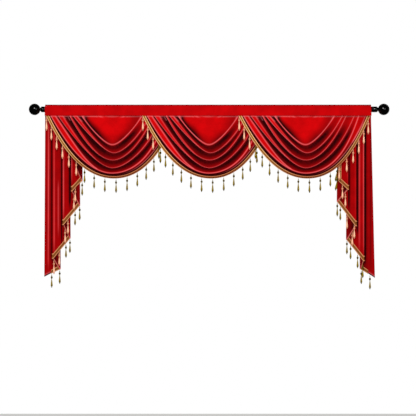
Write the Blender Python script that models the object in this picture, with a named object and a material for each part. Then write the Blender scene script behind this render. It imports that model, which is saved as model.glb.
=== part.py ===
# Window valance in red velvet: a rod pocket carries three swags and two cascade tails,
# edged with gold braid and bead drops, on a rod with ball finials.
# Tables are in millimetres. The origin is on the rod's axis at mid-length, +X to the
# right, +Z up, and the front faces -Y.

from collections import namedtuple

import bmesh
import bpy
import numpy as np

MM = 0.001

# Cloth and clearances
CLOTH = 1.5
BRAID_THICK = 1.4
BRAID_WIDE = 17.0
CLEAR = 0.3
BRAID_PAST_HEM = 2.5
SEAM_Z = -40.0
TUCK = 8.0

# Rod, pocket and finials
POCKET_LONG = 2000.0
ROD_RADIUS = 14.0
ROD_INTO_FINIAL = 20.0
ROD_SIDES = 20
FINIAL_FACE = 1002.0
FINIAL_SIDES = 20
BALL_STEPS = 11
BALL_RADIUS = 35.0
COLLAR_RADIUS = 17.5
COLLAR_LONG = {"left": 25.5, "right": 38.5}
NECK_RADIUS = 10.0
NECK_LONG = 4.0
BORE_RADIUS = ROD_RADIUS + CLEAR + 0.2
BORE_DEEP = ROD_INTO_FINIAL + CLEAR
POCKET_PLY = 2.0
POCKET_CREASE_Z = 25.9
POCKET_FRONT_Y = -19.9
POCKET_BACK_Y = 9.0
POCKET_FLAT_Z = -29.0
SHOULDER_ENDS = np.radians(112.0)

# Swags
SWAG_STEP = 590.0
SWAG_WIDE = 790.0
SWAG_STARTS = {"left": -984.5, "middle": -984.5 + SWAG_STEP, "right": -984.5 + 2 * SWAG_STEP}
SWAG_DROP = 374.5
SWAG_COLUMNS = 18
# y of the pleats' crests at the seam, on the swag's left end and on its right end
CREST_LEFT = -17.0
CREST_RIGHT = -9.8
PLEAT_DEEP = 4.2
# Share of the width on which each end keeps its place over or under its neighbour
OVER_UNTIL = 0.3
MITRE_LIMIT = 1.5
LEAN_OUT = 30.0
LEAN_LEFT = 38.0
HEM_CURL = np.radians(38.0)
VEE_ROUND = 0.18
# Under a ridge the cloth turns back faster the lower this power, and overhangs by this
# share of the way to the next ridge
FOLD_TURN = 0.5
FOLD_OVERHANG = 0.14
TOP_TURN = 1.6
# Share of the way from the last ridge at which the cloth has turned back to the hem
HEM_REACH = 0.4
# Rows of cloth from one ridge to the next, as shares of the way
TOP_STEPS = (0.0, 0.35, 0.7)
FOLD_STEPS = (0.0, 0.06, 0.25, 0.5, 0.78)
LAST_STEPS = (0.0, 0.15, 0.4, 0.75)

# One row for each line of a swag from its top edge to its hem. left and right are its
# ends at the seam, from the swag's left end, low is its lowest place and drop how far
# that lies under the seam. vee is its share of a straight V, power the rounding of the
# rest, and fold the depth of the fold under it.
Line = namedtuple("Line", "left right low drop vee power fold")
SWAG_LINES = {
    "top": Line(268, 522, 395, -TUCK, 0.0, 2.0, 9),
    "ridge_1": Line(201, 589, 403, 177, 0.60, 2.0, 22),
    "ridge_2": Line(152, 633, 411, 225, 0.65, 2.0, 20),
    "ridge_3": Line(133, 662, 408, 269, 0.20, 2.1, 25),
    "ridge_4": Line(65, 688, 399, 317, 0.50, 2.0, 28),
    "ridge_5": Line(17, 725, 398, 349, 0.15, 2.1, 16),
    "hem": Line(-3, 793, 411, SWAG_DROP, 0.15, 2.5, 16),
}

# Tails
TAIL_TOP_Z = SEAM_Z + TUCK
TAIL_FRONT_Y = -2.8
TAIL_FRONT_LEAN = 5.0
TAIL_TURN_TOP = 2.0
TAIL_TURN_GROWS = 7.0
TAIL_SPREAD_TOP = 9.2
TAIL_SPREAD_GROWS = 32.0
TAIL_OPENS = 0.6
TAIL_FREE_Z = SEAM_Z - 4.0
TAIL_LONG = 980.0
TAIL_STEPS = (0.0, 0.016, 0.12, 0.3, 0.53, 0.76, 1.0)
TURN_STEPS = 4
PLY_STEPS = 3

# One row for each bend of a tail from its outer edge inwards: x at the top and at the
# foot, its place from front (0) to back (1), and the braid's height there.
Bend = namedtuple("Bend", "top foot back hem")
LEFT_BENDS = (
    Bend(-1000, -1005, 0.1, -1018),
    Bend(-912, -909, 1.0, -970),
    Bend(-953, -955, 0.0, -901),
    Bend(-850, -847, 1.0, -777),
    Bend(-890, -892, 0.0, -693),
    Bend(-790, -787, 1.0, -575),
    Bend(-838, -839, 0.0, -488),
    Bend(-773, -771, 0.62, -420),
    Bend(-812, -811, 0.0, -325),
)
RIGHT_BENDS = (
    Bend(1000, 1023, 0.1, -1024),
    Bend(934, 935, 1.0, -968),
    Bend(957, 957, 0.0, -915),
    Bend(852, 850, 1.0, -786),
    Bend(908, 910, 0.0, -700),
    Bend(797, 789, 1.0, -553),
    Bend(861, 861, 0.0, -479),
    Bend(802, 799, 0.35, -425),
)
TAIL_EDGE_TRIM_TOP = -325.0

# Bead drops
SWAG_DROPS = 18
SWAG_DROP_START = 8.0
BRAID_TO_DROP = 2.0
SWAG_DROP_SPACING = 66.5
TAIL_DROPS = 13
LEFT_DROP_START = 51.0
RIGHT_DROP_START = 31.0
TAIL_DROP_SPACING = 56.5
DROP_SIDES = 3
# Depth under the braid's edge and radius of each turn of a drop
Bead = namedtuple("Bead", "down radius")
DROP_PROFILE = (
    Bead(-0.5, 0.6),
    Bead(14.0, 0.8),
    Bead(24.0, 3.4),
    Bead(34.0, 1.3),
    Bead(72.0, 3.8),
    Bead(80.0, 1.4),
)

FINISHES = {
    "velvet": ((0.60, 0.004, 0.006, 1.0), 0.85, 0.0),
    "braid": ((0.55, 0.32, 0.08, 1.0), 0.55, 0.3),
    "rod_black": ((0.012, 0.012, 0.014, 1.0), 0.2, 0.0),
}


def clear_scene():
    for item in list(bpy.data.objects):
        bpy.data.objects.remove(item, do_unlink=True)


def make_material(name):
    colour, roughness, metallic = FINISHES[name]
    material = bpy.data.materials.new(name)
    material.use_nodes = True
    shader = material.node_tree.nodes["Principled BSDF"]
    shader.inputs["Base Color"].default_value = colour
    shader.inputs["Roughness"].default_value = roughness
    shader.inputs["Metallic"].default_value = metallic
    return material


def add_object(name, points, faces, material):
    mesh = bpy.data.meshes.new(name)
    mesh.from_pydata((np.asarray(points) * MM).tolist(), [], faces.tolist())
    mesh.materials.append(material)
    item = bpy.data.objects.new(name, mesh)
    bpy.context.scene.collection.objects.link(item)
    return item


def grid_faces(rows, columns):
    # Two triangles for each cell of a grid, always split along the same diagonal.
    corner = (np.arange(rows - 1)[:, None] * columns + np.arange(columns - 1)).ravel()
    right = corner + 1
    below = corner + columns
    across = below + 1
    return np.concatenate(
        [np.column_stack([corner, below, across]), np.column_stack([corner, across, right])]
    )


def sheet_body(front, back, kept=None):
    # A closed sheet between two grids of points, walled all round its rim. kept marks the
    # cells that it covers, all of them unless it is given.
    rows, columns = front.shape[:2]
    count = rows * columns
    face = grid_faces(rows, columns)
    if kept is not None:
        face = face[np.tile(np.ravel(kept), 2)]
    edges = np.concatenate([face[:, [0, 1]], face[:, [1, 2]], face[:, [2, 0]]])
    known = set(map(tuple, edges.tolist()))
    start, end = np.array([edge for edge in known if edge[::-1] not in known]).T
    walls = np.concatenate(
        [np.column_stack([end, start, start + count]), np.column_stack([end, start + count, end + count])]
    )
    faces = np.concatenate([face, face[:, ::-1] + count, walls])
    used, faces = np.unique(faces, return_inverse=True)
    points = np.concatenate([front.reshape(-1, 3), back.reshape(-1, 3)])
    return points[used], faces.reshape(-1, 3)


def face_outwards(item):
    shape = bmesh.new()
    shape.from_mesh(item.data)
    bmesh.ops.recalc_face_normals(shape, faces=shape.faces)
    shape.to_mesh(item.data)
    shape.free()


def unit(vectors):
    return vectors / np.linalg.norm(vectors, axis=-1, keepdims=True)


# ---- swags


def swag_curve(line, across):
    # A hanging line: x runs between its ends, and the drop blends a rounded V with a
    # power curve.
    left, right, low, drop, vee, power, _ = line
    skew = 4.0 * (low - 0.5 * (left + right)) / (right - left)
    x = left + (right - left) * (across + skew * across * (1.0 - across))
    off = np.abs(2.0 * across - 1.0)
    span = np.hypot(1.0, VEE_ROUND) - VEE_ROUND
    straight = (np.hypot(off, VEE_ROUND) - VEE_ROUND) / span
    sag = 1.0 - vee * straight - (1.0 - vee) * off**power
    z = SEAM_Z + TUCK - (drop + TUCK) * sag
    return x, z


def crest_y(x, z):
    # How far forward the folds' crests stand, more where the swag hangs lower.
    side = x / SWAG_WIDE
    low = np.clip((SEAM_Z - z) / SWAG_DROP, 0.0, 1.2)
    pass_over = np.clip((side - OVER_UNTIL) / (1.0 - 2.0 * OVER_UNTIL), 0.0, 1.0)
    start = CREST_LEFT + (CREST_RIGHT - CREST_LEFT) * pass_over**2 * (3.0 - 2.0 * pass_over)
    return start - LEAN_OUT * low**1.15 - LEAN_LEFT * low * (1.0 - side)


def fold_depth(full, z):
    low = np.clip((SEAM_Z - z) / SWAG_DROP, 0.0, 1.0)
    return PLEAT_DEEP + (full - PLEAT_DEEP) * low


def hem_band(across):
    # The hem's centre line, and the way across the braid, which turns back underneath.
    line = SWAG_LINES["hem"]
    x, z = swag_curve(line, across)
    low = np.clip((SEAM_Z - z) / SWAG_DROP, 0.0, 1.0)
    y = crest_y(x, z) + fold_depth(line.fold, z)
    centre = np.stack([x, y, z], axis=-1)
    along = unit(np.gradient(centre, axis=0))
    curl = HEM_CURL * low**3
    inward = np.stack([-along[:, 2], np.zeros_like(x), along[:, 0]], axis=-1)
    inward = unit(inward) * np.cos(curl)[:, None]
    inward[:, 1] = -np.sin(curl)
    normal = unit(np.cross(along, inward))
    return centre, inward, normal


def swag_columns(count):
    even = np.linspace(0.0, 1.0, count + 1)
    return 0.12 * even + 0.44 * (1.0 - np.cos(np.pi * even))


def swag_surface(across):
    # The cloth's middle surface. Under each ridge it turns sharply back, then comes
    # slowly forward again to the next ridge. Under the last one it stays back, and the
    # flat band behind the braid follows.
    lines = list(SWAG_LINES.values())
    centre, inward, normal = hem_band(across)
    band_top = centre + inward * 0.5 * BRAID_WIDE
    band_foot = centre - inward * (0.5 * BRAID_WIDE - BRAID_PAST_HEM)
    ridges = []
    for line in lines[:-1]:
        x, z = swag_curve(line, across)
        ridges.append(np.stack([x, crest_y(x, z), z], axis=-1))
    rows = []
    for number, (upper, lower) in enumerate(zip(ridges[:-1], ridges[1:])):
        steps, turn, overhang = FOLD_STEPS, FOLD_TURN, FOLD_OVERHANG
        if number == 0:
            steps, turn, overhang = TOP_STEPS, TOP_TURN, 0.0
        for step in steps:
            back = np.sin(np.pi * step**turn) ** 2
            row = upper + (lower - upper) * (step - overhang * back)
            row[:, 1] += fold_depth(lines[number].fold, row[:, 2]) * back
            rows.append(row)
    for step in LAST_STEPS:
        row = ridges[-1] + (band_top - ridges[-1]) * step
        back = np.sin(0.5 * np.pi * min(1.0, step / HEM_REACH)) ** 2
        row[:, 1] = ridges[-1][:, 1] + (band_top - ridges[-1])[:, 1] * back
        rows.append(row)
    points = np.stack(rows + [band_top, band_foot])
    step = unit(np.diff(points, axis=0))
    before = np.concatenate([step[:1], step])
    after = np.concatenate([step, step[-1:]])
    down = unit(before + after)
    stretch = 1.0 / np.sum(down * after, axis=-1, keepdims=True)
    normals = unit(np.cross(down, np.gradient(points, axis=1))) * np.minimum(stretch, MITRE_LIMIT)
    normals[-2:] = normal
    return points, normals


def bead_drop(top, swing):
    # One closed string of beads that hangs from a point on the braid, its foot swung
    # forward where it lies on the cloth behind.
    turn = 2.0 * np.pi * np.arange(DROP_SIDES) / DROP_SIDES
    ring = np.column_stack([np.cos(turn), np.sin(turn), np.zeros(DROP_SIDES)])
    length = DROP_PROFILE[-1].down
    points = [
        top + ring * bead.radius - (0.0, swing * bead.down / length, bead.down)
        for bead in DROP_PROFILE
    ]
    faces = []
    for level in range(len(DROP_PROFILE) - 1):
        for side in range(DROP_SIDES):
            here = level * DROP_SIDES + side
            beside = level * DROP_SIDES + (side + 1) % DROP_SIDES
            faces.append((here, here + DROP_SIDES, beside + DROP_SIDES))
            faces.append((here, beside + DROP_SIDES, beside))
    last = (len(DROP_PROFILE) - 1) * DROP_SIDES
    for side in range(1, DROP_SIDES - 1):
        faces.append((0, side, side + 1))
        faces.append((last, last + side + 1, last + side))
    return np.concatenate(points), np.array(faces)


def hang_drops(item, tops, swings, material):
    # Fuses the drops' roots into the braid.
    points, faces, count = [], [], 0
    for top, swing in zip(tops, swings):
        more, shape = bead_drop(top, swing)
        points.append(more)
        faces.append(shape + count)
        count += len(more)
    drops = add_object(item.name + "_drops", np.concatenate(points), np.concatenate(faces), material)
    face_outwards(drops)
    drops.hide_render = True
    drops.display_type = "WIRE"
    union = item.modifiers.new("drops", "BOOLEAN")
    union.operation = "UNION"
    union.solver = "EXACT"
    union.object = drops


def places_along(path, places):
    # Values of a path's columns at given distances along its last three of them.
    steps = np.linalg.norm(np.diff(path[:, -3:], axis=0), axis=1)
    length = np.concatenate([[0.0], np.cumsum(steps)])
    return np.column_stack([np.interp(places, length, column) for column in path.T])


def make_swag(side, velvet, braid):
    across = swag_columns(SWAG_COLUMNS)
    shift = np.array([SWAG_STARTS[side], 0.0, 0.0])
    points, normals = swag_surface(across)
    front = points + normals * 0.5 * CLOTH + shift
    back = points - normals * 0.5 * CLOTH + shift
    cloth = add_object("swag_" + side, *sheet_body(front, back), velvet)
    face_outwards(cloth)

    centre, inward, normal = hem_band(across)
    outer = centre - inward * 0.5 * BRAID_WIDE + shift
    cuts = (0.5 * BRAID_WIDE - CLEAR, BRAID_PAST_HEM - 0.5 * BRAID_WIDE, -0.5 * BRAID_WIDE)
    band = np.stack([centre + inward * cut for cut in cuts]) + shift
    under = band + normal * (0.5 * CLOTH + CLEAR)
    over = under + normal * BRAID_THICK
    trim = add_object("swag_trim_" + side, *sheet_body(over, under), braid)
    face_outwards(trim)

    edge = outer + inward * BRAID_TO_DROP + normal * (0.5 * CLOTH + CLEAR + 0.5 * BRAID_THICK)
    path = np.column_stack([edge, centre])
    places = SWAG_DROP_START + SWAG_DROP_SPACING * np.arange(SWAG_DROPS)
    tops = places_along(path, places)[:, :3]
    swings = np.zeros(SWAG_DROPS)
    if side != "left":
        # The first drops lie on the swag that this one crosses.
        behind = tops[:, 0] - shift[0] + SWAG_STEP
        foot_z = tops[:, 2] - DROP_PROFILE[-1].down
        rest = crest_y(behind, foot_z) - 0.5 * CLOTH - DROP_PROFILE[-2].radius - CLEAR
        swings = np.where(behind < SWAG_WIDE, np.maximum(0.0, tops[:, 1] - rest), 0.0)
    hang_drops(trim, tops, swings, braid)


# ---- tails


def tail_stations(bends):
    # Places along the cloth's zigzag: x at the top and the foot, the share of the spread
    # and of the turn in y, and the share of the turn in x.
    inwards = np.sign(bends[1].top - bends[0].top)
    rows = []
    turn = np.linspace(0.5 * np.pi, -0.5 * np.pi, TURN_STEPS + 1)
    for number, bend in enumerate(bends):
        at_back = number % 2 == 1
        if number in (0, len(bends) - 1):
            rows.append((number, bend.top, bend.foot, bend.back, 0.0, 0.0))
            continue
        for angle in turn:
            sideways = 0.5 * (np.cos(angle) - 1.0) * (1.0 if at_back else -1.0) * inwards
            share = 0.5 * np.sin(angle) + (-0.5 if at_back else 0.5)
            rows.append((number, bend.top, bend.foot, bend.back, share, sideways))
    filled = []
    for here, after in zip(rows[:-1], rows[1:]):
        filled.append(here)
        if here[0] != after[0]:
            steps = np.linspace(0.0, 1.0, PLY_STEPS + 1)[1:-1]
            filled.extend(tuple(np.array(here) * (1 - s) + np.array(after) * s) for s in steps)
    filled.append(rows[-1])
    return np.array(filled)


def tail_section(stations, z):
    # x and y of every station at each height.
    down = np.clip((TAIL_FREE_Z - z) / TAIL_LONG, 0.0, 1.0)
    turn = TAIL_TURN_TOP + TAIL_TURN_GROWS * down**TAIL_OPENS
    spread = TAIL_SPREAD_TOP + TAIL_SPREAD_GROWS * down**TAIL_OPENS
    _, top, foot, share, turned, sideways = stations.T
    x = top + (foot - top) * down + sideways * turn
    y = TAIL_FRONT_Y - TAIL_FRONT_LEAN * down + share * spread + turned * turn
    return np.stack([x, y, z], axis=-1)


def tail_normals(points, side):
    # Away from the cloth's face, level, and stretched at the turns to keep the thickness.
    step = unit(np.diff(points[..., :2], axis=-2))
    before = np.concatenate([step[..., :1, :], step], axis=-2)
    after = np.concatenate([step, step[..., -1:, :]], axis=-2)
    along = unit(before + after)
    stretch = 1.0 / np.sum(along * after, axis=-1)
    normal = np.zeros_like(points)
    normal[..., 0] = side * along[..., 1] * stretch
    normal[..., 1] = -side * along[..., 0] * stretch
    return normal


def make_tail(side, bends, drop_start, velvet, braid):
    stations = tail_stations(bends)
    sign = 1.0 if side == "left" else -1.0
    hems = np.array([bend.hem for bend in bends])
    hem = np.interp(stations[:, 0], np.arange(len(bends)), hems)
    foot = tail_section(stations, hem)
    run = np.linalg.norm(np.diff(foot[:, :2], axis=0), axis=1)
    length = np.concatenate([[0.0], np.cumsum(run)])
    bend_length = np.interp(np.arange(len(bends)), stations[:, 0], length)
    slope = np.diff(hems) / np.diff(bend_length)
    slope = np.interp(stations[:, 0], np.arange(len(slope)) + 0.5, slope)
    half = 0.5 * BRAID_WIDE * np.hypot(1.0, slope)

    edge = hem - half + BRAID_PAST_HEM
    z = TAIL_TOP_Z + (edge - TAIL_TOP_Z) * np.array(TAIL_STEPS)[:, None]
    points = tail_section(stations, z)
    normals = tail_normals(points, sign)
    cloth = add_object(
        "tail_" + side,
        *sheet_body(points + normals * 0.5 * CLOTH, points - normals * 0.5 * CLOTH),
        velvet,
    )
    face_outwards(cloth)

    # The right tail's inner edge is trimmed too, up to where the swag hides it.
    inner_edge = np.maximum(hem + half, TAIL_EDGE_TRIM_TOP)
    band = tail_section(stations, np.stack([inner_edge, hem + half, hem - half]))
    kept = np.ones((2, len(stations) - 1), dtype=bool)
    kept[0] = False
    kept[0, -1] = side == "right"
    out = tail_normals(band, sign)
    under = band + out * (0.5 * CLOTH + CLEAR)
    over = under + out * BRAID_THICK
    trim = add_object("tail_trim_" + side, *sheet_body(over, under, kept), braid)
    face_outwards(trim)

    root = 0.5 * (over + under)[2]
    root[:, 2] += BRAID_TO_DROP
    path = np.column_stack([root, length, hem, np.zeros_like(hem)])
    places = drop_start + TAIL_DROP_SPACING * np.arange(TAIL_DROPS)
    hang_drops(trim, places_along(path, places)[:, :3], np.zeros(TAIL_DROPS), braid)


# ---- pocket, rod and finials


def make_pocket(velvet):
    # Both plies in one section: up the back, over the rod's shoulders to the crease, and
    # down the front to the seam.
    lean = ROD_RADIUS + CLEAR + 0.3 + 0.5 * POCKET_PLY
    tangent = np.arccos(lean / POCKET_CREASE_Z)
    bend = np.linspace(SHOULDER_ENDS, tangent, 6)
    shoulder = np.column_stack([np.sin(bend), np.cos(bend)]) * lean
    back = np.concatenate([[(POCKET_BACK_Y, SEAM_Z), (POCKET_BACK_Y, POCKET_FLAT_Z)], shoulder])
    front = np.concatenate(
        [shoulder[::-1] * (-1, 1), [(POCKET_FRONT_Y, POCKET_FLAT_Z), (POCKET_FRONT_Y, SEAM_Z)]]
    )
    section = np.concatenate([back, [(0.0, POCKET_CREASE_Z)], front])
    step = unit(np.diff(section, axis=0))
    before = np.concatenate([step[:1], step])
    after = np.concatenate([step, step[-1:]])
    along = unit(before + after)
    outward = np.column_stack([-along[:, 1], along[:, 0]]) / np.sum(along * after, axis=1)[:, None]
    ends = np.array([-0.5, 0.5]) * POCKET_LONG
    sides = []
    for offset in (-0.5, 0.5):
        ring = section + outward * offset * POCKET_PLY
        sides.append(np.stack([np.column_stack([np.full(len(ring), x), ring]) for x in ends]))
    item = add_object("header_pocket", *sheet_body(*sides), velvet)
    face_outwards(item)


def turned_body(name, profile, sides, material):
    # Turns a profile of (distance, radius) about X, both of whose ends lie on the axis.
    turn = 2.0 * np.pi * np.arange(sides) / sides
    distance, radius = np.array(profile).T
    rings = np.stack(
        [
            np.repeat(distance[:, None], sides, axis=1),
            radius[:, None] * np.cos(turn),
            radius[:, None] * np.sin(turn),
        ],
        axis=-1,
    )
    shape = bmesh.new()
    vertices = [[shape.verts.new(point * MM) for point in ring] for ring in rings]
    for here, after in zip(vertices[:-1], vertices[1:]):
        for side in range(sides):
            beside = (side + 1) % sides
            shape.faces.new((here[side], here[beside], after[beside], after[side]))
    bmesh.ops.remove_doubles(shape, verts=shape.verts, dist=0.00001)
    bmesh.ops.recalc_face_normals(shape, faces=shape.faces)
    mesh = bpy.data.meshes.new(name)
    shape.to_mesh(mesh)
    shape.free()
    mesh.materials.append(material)
    mesh.shade_smooth()
    mesh.set_sharp_from_angle(angle=np.radians(40.0))
    item = bpy.data.objects.new(name, mesh)
    bpy.context.scene.collection.objects.link(item)
    return item


def make_rod(black):
    half = FINIAL_FACE + ROD_INTO_FINIAL
    profile = [(-half, 0.0), (-half, ROD_RADIUS), (half, ROD_RADIUS), (half, 0.0)]
    turned_body("rod", profile, ROD_SIDES, black)


def make_finial(side, black):
    # From the bottom of the bore out over the collar and the neck to the ball's far end.
    long = COLLAR_LONG[side]
    start = np.arcsin(NECK_RADIUS / BALL_RADIUS)
    centre = long + NECK_LONG + BALL_RADIUS * np.cos(start)
    angle = np.linspace(start, np.pi, BALL_STEPS)
    ball = np.column_stack([centre - BALL_RADIUS * np.cos(angle), BALL_RADIUS * np.sin(angle)])
    ball[-1, 1] = 0.0
    collar = [
        (BORE_DEEP, 0.0),
        (BORE_DEEP, BORE_RADIUS),
        (0.0, BORE_RADIUS),
        (0.0, COLLAR_RADIUS - 1.0),
        (1.0, COLLAR_RADIUS),
        (long - 8.5, COLLAR_RADIUS),
        (long - 4.5, COLLAR_RADIUS - 1.5),
        (long - 1.5, COLLAR_RADIUS - 4.5),
        (long, NECK_RADIUS),
    ]
    profile = np.concatenate([collar, ball])
    sign = 1.0 if side == "right" else -1.0
    profile[:, 0] = sign * (FINIAL_FACE + profile[:, 0])
    turned_body("finial_" + side, profile, FINIAL_SIDES, black)


clear_scene()
velvet_cloth = make_material("velvet")
gold_braid = make_material("braid")
gloss_black = make_material("rod_black")
make_rod(gloss_black)
for end in ("left", "right"):
    make_finial(end, gloss_black)
make_pocket(velvet_cloth)
for place in SWAG_STARTS:
    make_swag(place, velvet_cloth, gold_braid)
make_tail("left", LEFT_BENDS, LEFT_DROP_START, velvet_cloth, gold_braid)
make_tail("right", RIGHT_BENDS, RIGHT_DROP_START, velvet_cloth, gold_braid)
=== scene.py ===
# Window valance in red velvet with gold braid and bead drops, on a black rod.
# Lengths are in millimetres until a mesh is made. The origin is on the rod's axis at
# mid-length, +X to the right, +Z up, and the front faces -Y.

import bpy
import numpy as np
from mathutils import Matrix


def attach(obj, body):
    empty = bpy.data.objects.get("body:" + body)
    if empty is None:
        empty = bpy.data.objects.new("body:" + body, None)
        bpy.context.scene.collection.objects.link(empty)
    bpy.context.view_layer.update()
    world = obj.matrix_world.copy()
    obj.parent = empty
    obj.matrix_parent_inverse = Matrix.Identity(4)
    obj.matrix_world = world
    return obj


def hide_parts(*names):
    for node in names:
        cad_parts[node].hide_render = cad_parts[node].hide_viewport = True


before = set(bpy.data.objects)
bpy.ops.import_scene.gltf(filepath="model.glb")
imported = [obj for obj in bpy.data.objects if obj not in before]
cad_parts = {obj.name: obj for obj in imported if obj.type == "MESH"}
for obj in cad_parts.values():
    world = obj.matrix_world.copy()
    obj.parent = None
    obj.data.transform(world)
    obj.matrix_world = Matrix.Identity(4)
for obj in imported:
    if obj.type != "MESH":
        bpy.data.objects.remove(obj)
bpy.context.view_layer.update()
millimetre = 0.001
clothThick = 1.5         # velvet with its pile


# Shapes shared by the pieces

def unit(vectors):
    return vectors / np.linalg.norm(vectors, axis=-1, keepdims=True)


def smoothStep(value, low, high):
    # 0 below low, 1 above high, and 3t^2 - 2t^3 between
    t = np.clip((value - low) / (high - low), 0.0, 1.0)
    return t * t * (3.0 - 2.0 * t)


def bell(distance, width):
    # A soft ridge: exp(-(distance / width)^2)
    return np.exp(-((distance / width) ** 2))


def gridQuads(rows, columns, wrap=False):
    # The quads of a grid, whose last column meets the first where it wraps
    across = np.arange(columns if wrap else columns - 1)
    here = np.arange(rows - 1)[:, None] * columns + across
    beside = np.arange(rows - 1)[:, None] * columns + (across + 1) % columns
    return np.stack([here, here + columns, beside + columns, beside], axis=-1).reshape(-1, 4)


def closedSheet(front, back):
    # The quads of two grids of points and of the wall round their rim
    rows, columns = front.shape[:2]
    count = rows * columns
    number = np.arange(count).reshape(rows, columns)
    rim = np.concatenate([number[:, 0], number[-1, 1:], number[-2::-1, -1], number[0, -2:0:-1]])
    after = np.roll(rim, -1)
    wall = np.column_stack([rim, after, after + count, rim + count])
    quads = gridQuads(rows, columns)[:, ::-1]
    points = np.concatenate([front.reshape(-1, 3), back.reshape(-1, 3)])
    return points, np.concatenate([quads, quads[:, ::-1] + count, wall])


def makePiece(name, points, quads, material, values=None, uv=None):
    # A mesh from arrays: values are named floats at the points, uv a pair at each point
    mesh = bpy.data.meshes.new(name)
    mesh.from_pydata((points * millimetre).tolist(), [], quads.tolist())
    for title, value in (values or {}).items():
        mesh.attributes.new(title, "FLOAT", "POINT").data.foreach_set("value", np.ravel(value))
    if uv is not None:
        corner = np.zeros(len(mesh.loops), dtype=np.int32)
        mesh.loops.foreach_get("vertex_index", corner)
        mesh.uv_layers.new(name="UVMap").data.foreach_set("uv", (uv * millimetre)[corner].ravel())
    mesh.materials.append(material)
    mesh.shade_smooth()
    item = bpy.data.objects.new(name, mesh)
    bpy.context.scene.collection.objects.link(item)
    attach(item, "root")
    return item


def thicken(item, thickness):
    wall = item.modifiers.new("thickness", "SOLIDIFY")
    wall.thickness = thickness * millimetre
    wall.offset = 0.0
    return item


def soften(points, times):
    # Rounds the folds: each row moves to a quarter, a half and a quarter of its neighbours
    for _ in range(times):
        points[1:-1] = 0.25 * points[:-2] + 0.5 * points[1:-1] + 0.25 * points[2:]
    return points


def lengthAlong(line):
    # How far along a line of points each of them lies
    steps = np.linalg.norm(np.diff(line, axis=0), axis=1)
    return np.concatenate([[0.0], np.cumsum(steps)])


def readAt(places, length, rows):
    # Rows of numbers that belong to lengths along a line, read at other places on it
    return np.stack([np.interp(places, length, column) for column in rows.T], axis=-1)


# Materials

def linear(hexColour):
    # sRGB hex to linear light
    channel = np.array([int(hexColour[at:at + 2], 16) for at in (1, 3, 5)]) / 255.0
    value = np.where(channel <= 0.04045, channel / 12.92, ((channel + 0.055) / 1.055) ** 2.4)
    return (*value.tolist(), 1.0)


def newMaterial(name, finish):
    # finish holds what is the same all over the surface, for the shader's own sockets
    material = bpy.data.materials.new(name)
    material.use_nodes = True
    shader = material.node_tree.nodes["Principled BSDF"]
    for title, value in finish.items():
        shader.inputs[title].default_value = value
    return material, material.node_tree, shader


def addNode(tree, kind, values=None, links=None, **settings):
    made = tree.nodes.new("ShaderNode" + kind)
    for title, value in settings.items():
        setattr(made, title, value)
    for title, value in (values or {}).items():
        made.inputs[title].default_value = value
    for title, socket in (links or {}).items():
        tree.links.new(socket, made.inputs[title])
    return made


velvetLook = {
    "face": "#D00206",      # pile seen straight on
    "worn": "#B40104",      # pile brushed the other way
    "trough": "#1C0002",    # painted shade deep in the folds
    "edge": "#EA3038",      # painted sheen where the pile is seen edge-on
    "crease": "#E8686C",    # painted highlight along a crease
    "mottleSize": 12.0,
    "mottleInFolds": 0.3,   # how patchy the folds' painted shade is
    "brushSize": 70.0,
    "pileSize": 2.2,        # real tufts are 0.3 mm apart, drawn coarser to show
    "pileHigh": 0.6,
    "pileBump": 0.25,
    "deepest": 0.98,        # most of the painted shade's colour
    "edgeMost": 0.4,        # most of the painted sheen's colour
    "edgeFrom": 0.55,       # facing from which the painted sheen shows
    "finish": {
        "Roughness": 0.85, "Specular IOR Level": 0.03, "Sheen Weight": 0.12,
        "Sheen Roughness": 0.4, "Sheen Tint": linear("#FF1820"),
    },
}


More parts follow.
